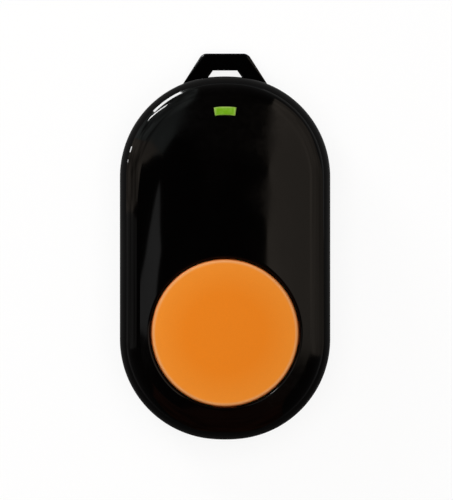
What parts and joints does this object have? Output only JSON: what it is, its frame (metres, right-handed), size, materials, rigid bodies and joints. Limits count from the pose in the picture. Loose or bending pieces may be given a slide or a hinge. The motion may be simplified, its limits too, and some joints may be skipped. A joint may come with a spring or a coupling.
{
  "type": "wireless panic button",
  "caption": "Flat oval key fob with a large round thumb button, a small indicator window and a slotted lanyard loop at one end.",
  "frame": {"origin": "middle of the oval body on its flat back face, the loop left out of the middle", "axes": "+Z out of the button side, +Y towards the lanyard loop, +X to the right seen from the button side"},
  "size_m": [0.038, 0.0699, 0.0142],
  "materials": {
    "housing_black": "high gloss moulded",
    "button_orange": "satin moulded",
    "window_green": "clear tinted light pipe",
    "silicone_clear": "soft milky silicone",
    "gasket_black": "soft matt",
    "board_green": "solder mask over woven glass",
    "inner_black": "moulded",
    "cell_steel": "bright pressed can",
    "contact_steel": "plated spring strip",
    "screw_steel": "zinc plated",
    "ceramic_tan": "fired with tinned ends",
    "lamp_white": "white lamp body with clear lens"
  },
  "bodies": {
    "housing": {"front_shell": "housing_black", "rear_cover": "housing_black", "silicone_return_dome": "silicone_clear", "indicator_window": "window_green", "indicator_led": "lamp_white", "housing_gasket": "gasket_black", "circuit_board": "board_green", "switch_base": "inner_black", "switch_frame": "contact_steel", "switch_leads": "contact_steel", "snap_dome": "contact_steel", "radio_chip": "inner_black", "timing_crystal": "cell_steel", "chip_antenna": "ceramic_tan", "reservoir_capacitor": "inner_black", "chip_capacitors": "ceramic_tan", "chip_resistors": "inner_black", "coin_cell": "cell_steel", "cell_holder": "inner_black", "positive_contact": "contact_steel", "negative_contact": "contact_steel", "cover_screws": "screw_steel"},
    "button": {"panic_button": "button_orange"},
    "plunger": {"switch_plunger": "inner_black"}
  },
  "joints": [
    {"name": "button_press", "type": "slide", "parent": "housing", "child": "button", "axis": [0, 0, -1], "range_m": [0, 0.0005], "stiffness_N_per_m": 3000, "springref_m": -0.0003, "deforming": ["silicone_return_dome"]},
    {"name": "plunger_click", "type": "slide", "parent": "housing", "child": "plunger", "axis": [0, 0, -1], "range_m": [0, 0.00025], "deforming": ["snap_dome"]}
  ],
  "couplings": [
    {"joint": "plunger_click", "follows": "button_press", "ratio": 0.5}
  ]
}
